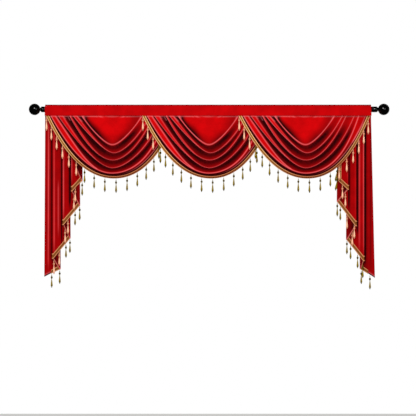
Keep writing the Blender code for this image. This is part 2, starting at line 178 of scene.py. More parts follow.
def velvetMaterial():
    # Polyester velvet, woven with a cut pile, whose brushed patches differ. Painted sheen
    # lightens the pile where it is seen edge-on, painted shade takes deep folds nearly to
    # black, and painted highlights run along the creases, each where an attribute puts it
    look = velvetLook
    material, tree, shader = newMaterial("cut_pile_velvet", look["finish"])
    place = addNode(tree, "TexCoord").outputs["Object"]
    mottle = addNode(tree, "TexNoise", {"Scale": 1000 / look["mottleSize"], "Detail": 4.0,
                                        "Roughness": 0.65}, {"Vector": place})
    brush = addNode(tree, "TexNoise", {"Scale": 1000 / look["brushSize"], "Detail": 2.0},
                    {"Vector": place})
    both = addNode(tree, "Math", links={0: mottle.outputs["Fac"], 1: brush.outputs["Fac"]},
                   operation="ADD")
    patch = addNode(tree, "MapRange", {"From Min": 0.75, "From Max": 1.25},
                    {"Value": both.outputs[0]})
    pile = addNode(tree, "Mix", {6: linear(look["worn"]), 7: linear(look["face"])},
                   {0: patch.outputs[0]}, data_type="RGBA")
    # painted shade: foldShade, made patchy by the mottle, mixes the pile towards the trough colour
    fold = addNode(tree, "Attribute", attribute_name="foldShade")
    patchy = addNode(tree, "Math", {1: look["mottleInFolds"]},
                     {0: mottle.outputs["Fac"], 2: fold.outputs["Fac"]},
                     operation="MULTIPLY_ADD")
    deep = addNode(tree, "MapRange", {"From Min": 0.17, "From Max": 1.0,
                                      "To Max": look["deepest"]},
                   {"Value": patchy.outputs[0]})
    inside = addNode(tree, "Mix", {7: linear(look["trough"])},
                     {0: deep.outputs[0], 6: pile.outputs[2]}, data_type="RGBA")
    # painted sheen: the edge colour where the surface is seen edge-on, less of it in the painted
    # shade
    tilt = addNode(tree, "LayerWeight", {"Blend": 0.35})
    rim = addNode(tree, "MapRange", {"From Min": look["edgeFrom"], "From Max": 1.0,
                                     "To Max": look["edgeMost"]},
                  {"Value": tilt.outputs["Facing"]}, interpolation_type="SMOOTHSTEP")
    bare = addNode(tree, "Math", {0: 1.0}, {1: deep.outputs[0]}, operation="SUBTRACT")
    lit = addNode(tree, "Math", links={0: rim.outputs[0], 1: bare.outputs[0]}, operation="MULTIPLY")
    paintedSheen = addNode(tree, "Mix", {7: linear(look["edge"])},
                   {0: lit.outputs[0], 6: inside.outputs[2]}, data_type="RGBA")
    # painted highlight: the crease colour goes on where the attribute along the crests puts it
    crest = addNode(tree, "Attribute", attribute_name="paintedHighlight")
    colour = addNode(tree, "Mix", {7: linear(look["crease"])},
                     {0: crest.outputs["Fac"], 6: paintedSheen.outputs[2]}, data_type="RGBA")
    tuft = addNode(tree, "TexNoise", {"Scale": 1000 / look["pileSize"], "Detail": 2.0},
                   {"Vector": place})
    bump = addNode(tree, "Bump", {"Strength": look["pileBump"],
                                  "Distance": look["pileHigh"] * millimetre},
                   {"Height": tuft.outputs["Fac"]})
    tree.links.new(colour.outputs[2], shader.inputs["Base Color"])
    tree.links.new(bump.outputs[0], shader.inputs["Normal"])
    return material


braidLook = {
    "cord": ("#FFC286", "#AC4412"),      # lit, and under painted shade
    "centre": ("#AE740E", "#8A3804"),
    "gap": ("#6E4606", "#4C1A02"),
    "cordFrom": (0.0044, 0.0054),        # metres from the braid's centre line
    "loopEvery": 11.0,
    "twistEvery": 5.5,
    "finish": {"Roughness": 0.55, "Metallic": 0.1, "Specular IOR Level": 0.25},
}


def braidMaterial():
    # Gimp braid of viscose and metallised thread: two bright cords along the edges and
    # darker loops between them. The UV map is along and across the braid, in metres
    look = braidLook
    material, tree, shader = newMaterial("gold_gimp_braid", look["finish"])
    place = addNode(tree, "UVMap", uv_map="UVMap").outputs[0]
    spot = addNode(tree, "SeparateXYZ", links={0: place})
    side = addNode(tree, "Math", links={0: spot.outputs["Y"]}, operation="ABSOLUTE")
    fromMin, fromMax = look["cordFrom"]
    edge = addNode(tree, "MapRange", {"From Min": fromMin, "From Max": fromMax},
                   {"Value": side.outputs[0]})
    turns = addNode(tree, "Math", {1: 2000 * np.pi / look["loopEvery"]},
                    {0: spot.outputs["X"]}, operation="MULTIPLY")
    wave = addNode(tree, "Math", links={0: turns.outputs[0]}, operation="SINE")
    loop = addNode(tree, "MapRange", {"From Min": -1.0, "From Max": 1.0},
                   {"Value": wave.outputs[0]})
    # painted shade: each braid colour is mixed towards its darker copy
    under = addNode(tree, "Attribute", attribute_name="paintedBraidShade")
    tones = {part: addNode(tree, "Mix", {6: linear(look[part][0]), 7: linear(look[part][1])},
                           {0: under.outputs["Fac"]}, data_type="RGBA").outputs[2]
             for part in ("cord", "centre", "gap")}
    middle = addNode(tree, "Mix", links={0: loop.outputs[0], 6: tones["gap"],
                                         7: tones["centre"]}, data_type="RGBA")
    colour = addNode(tree, "Mix", links={0: edge.outputs[0], 6: middle.outputs[2],
                                         7: tones["cord"]}, data_type="RGBA")
    tree.links.new(colour.outputs[2], shader.inputs["Base Color"])
    return material


beadLook = {
    "dark": ("#3C3004", "#CE805E"),      # in the open, and with painted light where cloth hangs behind
    "pale": ("#8C7402", "#FFC49E"),
    "cloudScale": 220.0,                 # clouds in the glass, 4.5 mm apart
    "finish": {
        "Roughness": 0.35, "Specular IOR Level": 0.12, "Coat Weight": 0.06,
        "Coat Roughness": 0.06,
    },
}


def beadMaterial():
    # Amber glass beads under a glossy skin, darker where the round beads are. The glass is
    # olive in the open, and painted light makes it peach where cloth hangs behind it
    look = beadLook
    material, tree, shader = newMaterial("amber_glass_bead", look["finish"])
    place = addNode(tree, "TexCoord").outputs["Object"]
    cloud = addNode(tree, "TexNoise", {"Scale": look["cloudScale"], "Detail": 2.0},
                    {"Vector": place})
    pale = addNode(tree, "Attribute", attribute_name="paleBead")
    mixed = addNode(tree, "Math", {1: 0.3}, {0: cloud.outputs["Fac"], 2: pale.outputs["Fac"]},
                    operation="MULTIPLY_ADD")
    clothLight = addNode(tree, "Attribute", attribute_name="paintedClothLight")
    tones = [addNode(tree, "Mix", {6: linear(plain), 7: linear(before)},
                     {0: clothLight.outputs["Fac"]}, data_type="RGBA").outputs[2]
             for plain, before in (look["dark"], look["pale"])]
    tone = addNode(tree, "Mix", links={0: mixed.outputs[0], 6: tones[0], 7: tones[1]},
                   data_type="RGBA")
    tree.links.new(tone.outputs[2], shader.inputs["Base Color"])
    return material


enamelLook = {
    # painted shade in the orange peel's hollows, against its crests
    "hollow": "#000000",
    "raised": "#020202",
    "peelSize": 6.25,        # orange peel
    "peelHigh": 0.4,
    "finish": {"Roughness": 0.14, "Specular IOR Level": 0.32},
}


def enamelMaterial():
    # Steel and resin dipped in gloss black enamel, with a faint orange-peel surface whose hollows
    # get painted shade
    look = enamelLook
    material, tree, shader = newMaterial("gloss_black_enamel", look["finish"])
    place = addNode(tree, "TexCoord").outputs["Object"]
    peel = addNode(tree, "TexNoise", {"Scale": 1000 / look["peelSize"], "Detail": 2.0},
                   {"Vector": place})
    bump = addNode(tree, "Bump", {"Strength": 0.12, "Distance": look["peelHigh"] * millimetre},
                   {"Height": peel.outputs["Fac"]})
    tone = addNode(tree, "Mix", {6: linear(look["hollow"]), 7: linear(look["raised"])},
                   {0: peel.outputs["Fac"]}, data_type="RGBA")
    tree.links.new(tone.outputs[2], shader.inputs["Base Color"])
    tree.links.new(bump.outputs[0], shader.inputs["Normal"])
    return material


velvet = velvetMaterial()
gold = braidMaterial()
glass = beadMaterial()
enamel = enamelMaterial()
print("materials made")


# Braid and bead drops

braid = {
    "wide": 17.0,
    "thick": 1.0,
    "gap": 0.3,          # air between the cloth and the braid
    "pastHem": 2.5,
    "cordAt": 6.2,       # the edge cords' centre lines, from the braid's own
    "cordRadius": 2.3,
    "cordHigh": 0.8,     # share of a full half round
    "loopHigh": 1.0,
    "loopWide": 3.4,
    "across": 21,        # points across
    "step": 1.6,         # length of a cell along the braid
}
drops = {
    "sides": 10,
    "onBraid": 2.0,      # how far above the braid's edge a drop's thread starts
    "offCloth": 1.75,    # and how far before the middle of the cloth
    "stray": 0.6,        # how far a drop's foot may hang to one side
    # Depth under the braid's edge, radius and paleness of each turn: thread, seed bead,
    # round bead, seed bead, long teardrop and end bead
    "profile": (
        (-0.5, 0.0, 0.6), (-0.5, 0.8, 0.6), (9.0, 0.7, 0.6), (10.6, 1.6, 0.5), (12.4, 2.4, 0.4),
        (14.6, 2.5, 0.4), (16.4, 1.7, 0.3), (17.8, 1.1, 0.1), (19.0, 2.5, 0.0), (21.0, 4.5, 0.0),
        (24.0, 5.9, 0.1), (27.5, 6.1, 0.0), (31.0, 5.2, 0.0), (33.6, 3.1, 0.1), (35.4, 1.4, 0.4),
        (37.0, 2.3, 0.7), (39.0, 2.6, 0.7), (41.0, 2.0, 0.6), (44.0, 2.7, 0.8), (50.0, 3.7, 1.0),
        (57.0, 4.5, 0.9), (64.0, 5.2, 0.8), (70.0, 5.9, 0.7), (75.0, 6.2, 0.5), (79.0, 5.9, 0.3),
        (82.0, 4.4, 0.1), (83.6, 2.6, 0.0), (84.6, 2.3, 0.0), (86.4, 3.1, 0.0), (88.6, 2.4, 0.0),
        (90.0, 0.0, 0.1),
    ),
}


def braidStrip(name, centreLine, bandAt, normalAt, underAt):
    # A braid's face stands off the cloth by thick plus its relief: two half-round cords
    # with a slanting twist, sqrt(1 - (distance / radius)^2), and low loops between them,
    # (1 + sin(2 pi u / loopEvery)) / 2. bandAt and normalAt give points at distances v
    # across the braid, and the last function how much painted shade the braid gets there
    length = lengthAlong(centreLine)
    u = np.broadcast_to(length, (braid["across"], len(length)))
    side = np.linspace(-0.5, 0.5, braid["across"])[:, None]
    v = np.broadcast_to(side * braid["wide"], u.shape)
    off = (np.abs(v) - braid["cordAt"]) / braid["cordRadius"]
    twist = 0.86 + 0.14 * np.sin(2.0 * np.pi * (u / braidLook["twistEvery"] + v / 9.0))
    dome = np.sqrt(np.clip(1.0 - off**2, 0.0, 1.0))
    cord = dome * braid["cordRadius"] * braid["cordHigh"] * twist
    loop = 0.5 + 0.5 * np.sin(2.0 * np.pi * u / braidLook["loopEvery"] - (v / 4.0) ** 2)
    middle = braid["loopHigh"] * loop * bell(v, braid["loopWide"])
    relief = np.maximum(cord, middle)
    base = bandAt(v)
    normal = normalAt(v)
    lift = 0.5 * clothThick + braid["gap"]
    front = base + normal * (lift + braid["thick"] + relief)[..., None]
    back = base + normal * lift
    points, quads = closedSheet(front, back)
    uv = np.stack([u, v], axis=-1).reshape(-1, 2)
    shaded = np.broadcast_to(np.clip(underAt(v), 0.0, 1.0), (2, *u.shape))
    item = makePiece(name, points, quads, gold, {"paintedBraidShade": shaded},
                     uv=np.concatenate([uv, uv]))
    return item


def overCloth(places):
    # 1 at places above the lowest edge of a swag or a tail
    line = swagCurve(swagLines["hem"], np.linspace(0.0, 1.0, 60))
    hems = [(line[0] + start, line[1]) for start in swag["starts"].values()]
    for bends in tailBends.values():
        for ends in zip(bends, bends[1:]):
            hems.append(np.transpose(sorted((row[0], row[3]) for row in ends)))
    over = np.zeros(len(places), dtype=bool)
    for x, z in hems:
        over |= places[:, 2] > np.interp(places[:, 0], x, z, left=np.inf, right=np.inf)
    return over * 1.0


def hangDrops(name, tops, swings, random):
    # Every drop is its profile turned about a line from its top. The line leans by the
    # drop's two swings, sideways and to the front, and strays a little to one side
    depth, radius, pale = np.array(drops["profile"]).T
    turn = 2.0 * np.pi * np.arange(drops["sides"]) / drops["sides"]
    share = depth / depth[-1]
    stray = random.uniform(-1.0, 1.0, len(tops)) * drops["stray"]
    axis = np.repeat(tops[:, None, :], len(depth), axis=1)
    axis[..., 0] += (stray + swings[:, 0])[:, None] * share
    axis[..., 1] -= swings[:, 1:] * share
    axis[..., 2] -= depth
    ring = np.stack([np.cos(turn), np.sin(turn), np.zeros_like(turn)], axis=-1)
    points = axis[:, :, None, :] + radius[:, None, None] * ring
    one = gridQuads(len(depth), drops["sides"], wrap=True)
    quads = one[None] + (np.arange(len(tops)) * len(depth) * drops["sides"])[:, None, None]
    paleness = np.broadcast_to(pale[:, None], points.shape[:-1])
    # painted light on the drops that hang in front of cloth
    clothLightShare = overCloth(axis[:, len(depth) // 2])[:, None, None] * np.ones_like(paleness)
    item = makePiece(name, points.reshape(-1, 3), quads.reshape(-1, 4), glass,
                     {"paleBead": paleness, "paintedClothLight": clothLightShare})
    return item


# Swags

swag = {
    "starts": {"left": -984.5, "middle": -394.5, "right": 195.5},
    "step": 590.0,
    "wide": 790.0,
    "drop": 377.5,
    "seam": -40.0,               # height of the pocket's seam
    "tuck": 8.0,                 # how far the cloth goes up behind it
    "crestLeft": -17.0,          # y of the crests at the seam
    "crestRight": -9.8,
    "overUntil": 0.3,            # share of the width at each end that keeps that y
    "leanOut": 30.0,             # how far the crests come forward at the bottom
    "leanLeft": 38.0,            # and how much more on the left
    "pleatDeep": 4.2,            # depth of a fold at the seam
    "overhang": 0.14,            # share of the way down by which a crest hangs over
    "swell": 4.0,                # how far the cloth bulges under a closed fold
    "turn": 0.5,                 # power of a fold's phase
    "turnLeft": 0.2,             # and how much more on the left
    "flatTurn": 4.0,             # the same over the first ridge
    "hollowLeft": 22.0,          # depth of the hollow over the first ridge
    "hollowMiddle": 3.0,
    "hollowRight": 10.0,
    "lastTurn": 0.4,             # share of the last step in which the cloth goes back
    "hemCurl": np.radians(38.0),
    "veeRound": 0.18,
    "columns": 260,
    "rows": 18,                  # from one line to the next
    "hemPoints": 800,
    "softening": 5,
    "wrinkles": 5,
    "wrinkleHigh": 0.5,
    "firstDrop": 8.0,
    "dropEvery": 66.8,
    "drops": 18,
    "flat": (1.0, 0.42),         # metres, and square metres
    "flatArea": 0.27,
}
# One row for each line of a swag from its top edge to its hem: its left and right ends at
# the seam, its lowest place and how far that lies under the seam, how far its right half
# bellies out, its share of a straight V, the power of the rest, the depth of the fold
# under it (0 where that has its own form), on the swag's left side the share of the way to
# the next line at which the fold under it has closed, and the painted highlight on the cloth's edge
swagLines = {
    "top": (268, 522, 395, -8, 0, 0.0, 2.0, 0, 1.0, 0.0),
    "ridge1": (201, 589, 400, 185, 0, 0.60, 2.0, 22, 0.52, 0.2),
    "ridge2": (150, 634, 410, 230.5, 8, 0.65, 2.0, 20, 0.68, 0.2),
    "ridge3": (131, 656, 403, 275, 0, 0.22, 2.1, 25, 0.57, 0.3),
    "ridge4": (58, 706, 400, 322.5, 22, 0.52, 2.0, 28, 0.32, 0.75),
    "ridge5": (17, 731, 399, 353.5, 20, 0.15, 2.2, 0, 1.0, 0.0),
    "hem": (-3, 793, 411, 377.5, 0, 0.15, 2.5, 16, 1.0, 0.0),
}
# Short creases that stand forward: x and z of both ends, height and width. The last is
# where the flat cloth meets the seam
swagCreases = (
    (184, -46, 214, -78, 4.0, 4.5),
    (100, -44, 112, -62, 3.0, 4.0),
    (126, -48, 140, -70, 3.0, 4.0),
    (222, -44, 232, -56, 2.5, 4.0),
    (692, -196, 766, -71, 4.0, 5.0),
    (262, -46, 540, -46, 2.2, 3.0),
)


def swagCurve(line, across):
    # x runs between the line's ends, skewed towards its lowest place, with a sine added
    # on the right half, and z blends a rounded V with a power curve
    left, right, low, drop, belly, vee, power = line[:7]
    skew = 4.0 * (low - 0.5 * (left + right)) / (right - left)
    x = left + (right - left) * (across + skew * across * (1.0 - across))
    x = x + belly * np.sin(np.pi * np.clip(2.0 * across - 1.0, 0.0, 1.0))
    off = np.abs(2.0 * across - 1.0)
    rounding = swag["veeRound"]
    straight = (np.hypot(off, rounding) - rounding) / (np.hypot(1.0, rounding) - rounding)
    sag = 1.0 - vee * straight - (1.0 - vee) * off**power
    return x, swag["seam"] + swag["tuck"] - (drop + swag["tuck"]) * sag


# The painted shade and painted light on a swag's folds, from 0 to 1, and how wide they are
foldLook = {
    "shine": 0.9,            # light along a crest
    "shineMiddle": 0.3,      # how much less it is in the middle and on the right
    "shineRight": 0.1,
    "shineOver": 2.1,        # its width above the crest and below it
    "shineUnder": 1.6,
    "flat": 0.07,            # shade of the flat cloth
    "hollow": 0.97,          # shade just over the first ridge
    "hollowMiddle": 0.64,    # share of it that goes in the middle, and what goes on the right
    "hollowRight": 0.6,
    "hollowWide": 16.0,      # its width at the left end, and how much it widens
    "hollowWidens": 52.0,
    "fold": 0.94,            # shade inside a fold
    "foldMiddle": 0.17,      # how much less it is in the middle
    "foldRight": 0.6,        # share of it that goes high on the right
    "last": 0.7,             # shade over the hem
    "lastRight": 0.8,        # share of it that goes high on the right
    "seam": 0.45,            # light along the seam
    "band": 0.9,             # shade under the braid
}


def hangShare(z, most=1.0):
    # 0 at the seam and 1 at a swag's lowest point
    return np.clip((swag["seam"] - z) / swag["drop"], 0.0, most)


def swagSides(across):
    # How much a place belongs to a swag's left side, its middle and its right side
    leftSide = 1.0 - smoothStep(across, 0.05, 0.48)
    return leftSide, bell(across - 0.5, 0.16), smoothStep(across, 0.55, 0.8)


def crestY(x, z):
    # The crests stand further forward where the swag hangs lower, most on its left side
    side = x / swag["wide"]
    low = hangShare(z, 1.2)
    over = smoothStep(side, swag["overUntil"], 1.0 - swag["overUntil"])
    start = swag["crestLeft"] + (swag["crestRight"] - swag["crestLeft"]) * over
    return start - swag["leanOut"] * low**1.15 - swag["leanLeft"] * low * (1.0 - side)


def foldDepth(full, z):
    # A pleat's depth at the seam, which grows to the full depth at the bottom
    return swag["pleatDeep"] + (full - swag["pleatDeep"]) * hangShare(z)


def hemBand(across):
    # The hem's centre line, the way across the braid, and the way out of it
    line = swagLines["hem"]
    x, z = swagCurve(line, across)
    centre = np.stack([x, crestY(x, z) + foldDepth(line[7], z), z], axis=-1)
    along = unit(np.gradient(centre, axis=0))
    curl = swag["hemCurl"] * hangShare(z) ** 3
    inward = np.stack([-along[:, 2], np.zeros_like(x), along[:, 0]], axis=-1)
    inward = unit(inward) * np.cos(curl)[:, None]
    inward[:, 1] = -np.sin(curl)
    return centre, inward, unit(np.cross(along, inward))


def foldRows(part, depth, across, step, close, upper, lower):
    # The cloth from one line to the next. Under the upper one it turns back by
    # depth * sin^2(pi * phase), where phase grows as (step / close) ^ turn, and bulges
    # forward again once the fold has closed
    leftSide, middle, rightSide = swagSides(across)
    span = lower - upper
    if part == "last":
        # Back under the last ridge, and not forward again before the hem
        row = upper + span * step[..., None]
        back = np.sin(0.5 * np.pi * np.minimum(1.0, step / swag["lastTurn"])) ** 2
        row[..., 1] = upper[:, 1] + span[:, 1] * back
        return row
    turn, overhang = swag["turn"] + swag["turnLeft"] * leftSide, swag["overhang"]
    if part == "first":
        # Flat above, with a hollow just over the first ridge, deepest on the left
        turn, overhang = swag["flatTurn"], 0.0
        depth = swag["hollowLeft"] * (1.0 - rightSide) * (1.0 - middle)
        depth = depth + swag["hollowRight"] * rightSide + swag["hollowMiddle"] * middle
    back = np.sin(np.pi * np.minimum(1.0, step / close) ** turn) ** 2
    row = upper + span * (step - overhang * back)[..., None]
    row[..., 1] += foldDepth(depth, row[..., 2]) * back
    swell = np.clip((step - close) / np.maximum(1.0 - close, 0.01), 0.0, 1.0)
    row[..., 1] -= swag["swell"] * np.sin(np.pi * swell) * (close < 0.99)
    return row


def foldTones(part, edgeLight, across, step, close, gap, low):
    # The painted shade between two lines that lie gap apart, and the painted highlights on the
    # creases. It is dark from the upper line to where the fold closes, and less so high on the
    # right
    look = foldLook
    leftSide, middle, rightSide = swagSides(across)
    fromUpper, toLower = step * gap, (1.0 - step) * gap
    shine = look["shine"] - look["shineMiddle"] * middle - look["shineRight"] * rightSide
    light = shine * bell(toLower - 0.4, look["shineOver"]) * (part != "last")
    light = light + shine * bell(fromUpper, look["shineUnder"]) * (part != "first")
    if part == "first":
        most = look["hollow"] - look["hollowRight"] * rightSide
        most = most * (1.0 - look["hollowMiddle"] * bell(across - 0.5, 0.13))
        wide = look["hollowWide"] + look["hollowWidens"] * smoothStep(across, 0.0, 0.3)
        near = 1.0 - smoothStep(toLower, 3.0, wide)
        shade = look["flat"] + (1.0 - look["flat"]) * most * near
    elif part == "last":
        bright = rightSide * (1.0 - smoothStep(low, 0.3, 0.62))
        near = 0.8 * bell(fromUpper - 6.0, 6.0) * (1.0 - bright)
        near = np.maximum(bell(toLower, 9.0), near)
        shade = look["last"] * (1.0 - look["lastRight"] * bright)
        shade = shade + (0.24 + 0.3 * bright) * near
        light = light + 0.5 * rightSide * bell(toLower - 10.0, 2.0)
    else:
        pastFold = (step - close) * gap
        darkest = look["fold"] - look["foldMiddle"] * middle
        within = 1.0 - smoothStep(pastFold, -5.0, 3.0)
        over = 0.2 * bell(toLower, 11.0) * (1.0 - leftSide)
        high = 1.0 - rightSide * look["foldRight"] * (1.0 - 0.9 * smoothStep(low, 0.05, 0.36))
        shade = darkest * within * high * (1.0 - over)
        shade = shade * (1.0 - 0.25 * (1.0 - bell(step / close - 0.4, 0.3)))
        shade = shade * smoothStep(toLower, 0.0, 3.0 + 9.0 * rightSide)
        light = light + edgeLight * bell(pastFold - 2.0, 2.4) * (close < 0.9)

    # The crests themselves get little painted shade
    if part != "last":
        shade = shade * (1.0 - 0.8 * bell(toLower, 3.6))
    if part != "first":
        shade = shade * (1.0 - 0.85 * bell(fromUpper, 3.0 + 6.0 * rightSide))
    return shade, light


def addCreases(points, crests, across, wrinkle):
    # Fine waves along the folds, a painted highlight along the seam, and the short creases
    # with painted highlights on them, each a bell across its line which fades out at both ends
    run = np.linspace(0.0, 1.0, len(points))[:, None]
    low = hangShare(points[..., 2])
    for waves, bend, phase in wrinkle:
        wave = np.sin(2.0 * np.pi * (waves * run + bend * across) + phase)
        points[..., 1] += swag["wrinkleHigh"] * low * wave
    crests = crests + foldLook["seam"] * bell(points[..., 2] - swag["seam"] + 3.5, 3.5)
    for x0, z0, x1, z1, high, wide in swagCreases:
        long = np.hypot(x1 - x0, z1 - z0)
        dx, dz = points[..., 0] - x0, points[..., 2] - z0
        on = (dx * (x1 - x0) + dz * (z1 - z0)) / long**2
        off = (dx * (z1 - z0) - dz * (x1 - x0)) / long
        fade = smoothStep(on, -0.15, 0.1) * (1.0 - smoothStep(on, 0.8, 1.15))
        points[..., 1] -= high * bell(off, wide) * fade
        crests = crests + 0.12 * high * bell(off, 0.6 * wide) * fade
    return points, crests


def swagSurface(across, wrinkle):
    # The cloth from its top edge to its hem: the points, and at each the painted shade of the fold
    # and the painted highlight on its creases
    lines = list(swagLines.values())
    centre, inward, _ = hemBand(across)
    bandTop = centre + inward * 0.5 * braid["wide"]
    bandFoot = centre - inward * (0.5 * braid["wide"] - braid["pastHem"])
    ridges = []
    for line in lines[:-1]:
        x, z = swagCurve(line, across)
        ridges.append(np.stack([x, crestY(x, z), z], axis=-1))
    parts = ["first"] + ["between"] * (len(ridges) - 2) + ["last"]
    leftSide, _, _ = swagSides(across)
    step = (np.arange(swag["rows"]) / swag["rows"])[:, None]
    points, shades, crests = [], [], []
    for part, line, upper, lower in zip(parts, lines, ridges, ridges[1:] + [bandTop]):
        depth, closeLeft, edgeLight = line[7:]
        close = closeLeft + (1.0 - closeLeft) * (1.0 - leftSide)
        row = foldRows(part, depth, across, step, close, upper, lower)
        span = lower - upper
        along = unit(np.gradient(upper, axis=0))
        gap = np.abs(span[:, 0] * along[:, 2] - span[:, 2] * along[:, 0])
        low = hangShare(row[..., 2])
        shade, light = foldTones(part, edgeLight, across, step, close, gap, low)
        points.append(row)
        shades.append(shade)
        crests.append(light)
    points = soften(np.concatenate(points), swag["softening"])
    points, crests = addCreases(points, np.concatenate(crests), across, wrinkle)
    band = np.zeros((2, len(across)))
    points = np.concatenate([points, bandTop[None], bandFoot[None]])
    shades = np.concatenate([*shades, band + foldLook["band"]])
    return points, shades, np.clip(np.concatenate([crests, band]), 0.0, 1.0)


def makeSwag(side, random):
    even = np.linspace(0.0, 1.0, swag["columns"] + 1)
    across = 0.12 * even + 0.44 * (1.0 - np.cos(np.pi * even))
    shift = np.array([swag["starts"][side], 0.0, 0.0])
    wrinkle = random.uniform((9.0, -2.0, 0.0), (23.0, 2.0, 6.28), (swag["wrinkles"], 3))
    points, shades, crests = swagSurface(across, wrinkle)
    quads = gridQuads(*points.shape[:2])
    cloth = makePiece("swag_cloth_" + side, (points + shift).reshape(-1, 3), quads, velvet,
                      {"foldShade": shades, "paintedHighlight": crests})
    thicken(cloth, clothThick)
    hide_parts("swag_" + side)

    # Even steps along the hem for the braid
    even = np.linspace(0.0, 1.0, swag["hemPoints"])
    length = lengthAlong(hemBand(even)[0])
    cells = int(length[-1] / braid["step"])
    fine = np.interp(np.linspace(0.0, 1.0, cells), length / length[-1], even)
    centre, inward, normal = hemBand(fine)
    low = hangShare(centre[:, 2])
    # painted shade on the braid, more low down and towards the right end, a little more on its
    # lower cord
    strip = braidStrip("swag_braid_" + side, centre,
                       lambda v: centre + shift + inward * v[..., None],
                       lambda v: np.broadcast_to(normal, (*v.shape, 3)),
                       lambda v: 0.8 * low**2.5 + 0.35 * smoothStep(fine, 0.5, 0.8) - 0.01 * v)
    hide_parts("swag_trim_" + side)

    edge = centre - inward * (0.5 * braid["wide"] - drops["onBraid"])
    edge = edge + normal * drops["offCloth"] + shift
    places = swag["firstDrop"] + swag["dropEvery"] * np.arange(swag["drops"])
    tops = readAt(places, lengthAlong(centre), edge)
    swings = np.zeros((len(tops), 2))
    if side != "left":
        # The first drops lie on the swag that this one crosses
        behind = tops[:, 0] - shift[0] + swag["step"]
        foot = tops[:, 2] - drops["profile"][-1][0]
        rest = crestY(behind, foot) - 5.0
        swings[:, 1] = np.maximum(0.0, tops[:, 1] - rest) * (behind < swag["wide"])
    beads = hangDrops("swag_beads_" + side, tops, swings, random)
    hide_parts("swag_trim_" + side)


# Tails

tail = {
    "top": -32.0,
    "frontY": -2.8,
    "lean": 5.0,             # how far the front comes forward at the foot
    "turnTop": 2.0,          # radius of a bend at the seam
    "turnGrows": 7.0,        # and how much more it has at the foot
    "spreadTop": 9.2,        # depth from the front plies to the back ones, likewise
    "spreadGrows": 32.0,
    "opens": 0.6,            # power with which both grow on the way down
    "free": -44.0,           # height at which they begin to grow
    "long": 980.0,
    "turnSteps": 10,
    "plySteps": 16,
    "rows": 110,
    "shade": 0.38,           # painted shade of the front plies
    "braidWide": 21.5,
    "under": 0.6,            # painted shade on the braid
    "bareHem": 42.0,         # the outermost hem is plain, turned up and stitched
    "turnUp": 14.0,
    "edgeBraid": {"right": (-432.0, -322.0)},   # its height on the inner edge
    "edgeDrops": {"right": (-352.0, -408.0)},
    "edgeSwing": 15.0,
    "edgeOff": 4.0,
    "flat": (0.66, 1.0),     # metres, and square metres
    "flatArea": 0.43,
}
# One row for each bend from the outer edge inwards: x at the top and at the foot, its
# place from front (0) to back (1), and the braid's height there
tailBends = {
    "left": (
        (-1000, -1005, 0.1, -1018), (-912, -909, 1.0, -970), (-953, -955, 0.0, -901),
        (-850, -847, 1.0, -777), (-890, -892, 0.0, -693), (-790, -787, 1.0, -575),
        (-838, -839, 0.0, -488), (-773, -771, 0.62, -420), (-812, -811, 0.0, -325),
    ),
    "right": (
        (1000, 1023, 0.1, -1024), (934, 935, 1.0, -968), (957, 957, 0.0, -915),
        (852, 850, 1.0, -786), (908, 910, 0.0, -700), (797, 789, 1.0, -553),
        (861, 861, 0.0, -479), (802, 799, 0.35, -425),
    ),
}
# Soft upright flutes and grooves in the front plies, with painted highlights on the flutes and
# painted shade in the grooves: x, width, height (a groove's is negative), and where they start and
# end
tailFlutes = {
    "left": (
        (-980, 7, 5.0, -60, -1010), (-961, 6, -3.4, -60, -985), (-943, 6, 6.0, -60, -905),
        (-919, 8, 3.0, -420, -800), (-901, 6, -3.4, -60, -880), (-888, 6, 5.0, -60, -700),
        (-850, 9, -5.5, -60, -640), (-837, 6, 5.0, -60, -480),
    ),
    "right": (
        (955, 6, 5.0, -60, -915), (966, 8, -6.5, -60, -970), (930, 9, 3.4, -60, -900),
        (903, 6, 5.0, -60, -700), (917, 9, -6.5, -60, -800), (856, 5, 4.0, -330, -480),
        (866, 9, -4.5, -60, -660), (998, 7, -1.6, -60, -1010),
    ),
}
# Places of the drops along the hem, from the outer edge inwards
tailDrops = {
    "left": (51, 107, 196, 277, 341, 391, 462, 541, 610, 662, 738, 803, 868),
    "right": (36, 100, 162, 250, 320, 372, 435, 500, 574, 641, 672, 757, 836),
}


def tailStations(bends):
    # Places along the zigzag: bend number, x at top and foot, share of the spread and of
    # the turn in y, and share of the turn in x
    inwards = np.sign(bends[1][0] - bends[0][0])
    turn = np.linspace(0.5 * np.pi, -0.5 * np.pi, tail["turnSteps"] + 1)
    rows = []
    for number, (top, foot, back, _) in enumerate(bends):
        flip = 1.0 if number % 2 else -1.0
        angles = turn if 0 < number < len(bends) - 1 else None
        if angles is None:
            part = np.array([[number, top, foot, back, 0.0, 0.0]])
        else:
            same = np.ones_like(angles)
            part = np.column_stack([
                same * number, same * top, same * foot, same * back,
                0.5 * np.sin(angles) - 0.5 * flip, 0.5 * (np.cos(angles) - 1.0) * flip * inwards,
            ])
        if rows:
            share = np.linspace(0.0, 1.0, tail["plySteps"] + 1)[1:-1, None]
            rows.append(rows[-1][-1] * (1.0 - share) + part[0] * share)
        rows.append(part)
    return np.concatenate(rows)


def fluteAt(x, z, at, wide, start, end):
    # A bell across, which fades in below its start and out above its end
    fade = smoothStep(-z, -start, 80.0 - start) * (1.0 - smoothStep(-z, -end - 120.0, -end))
    return bell(x - at, wide) * fade


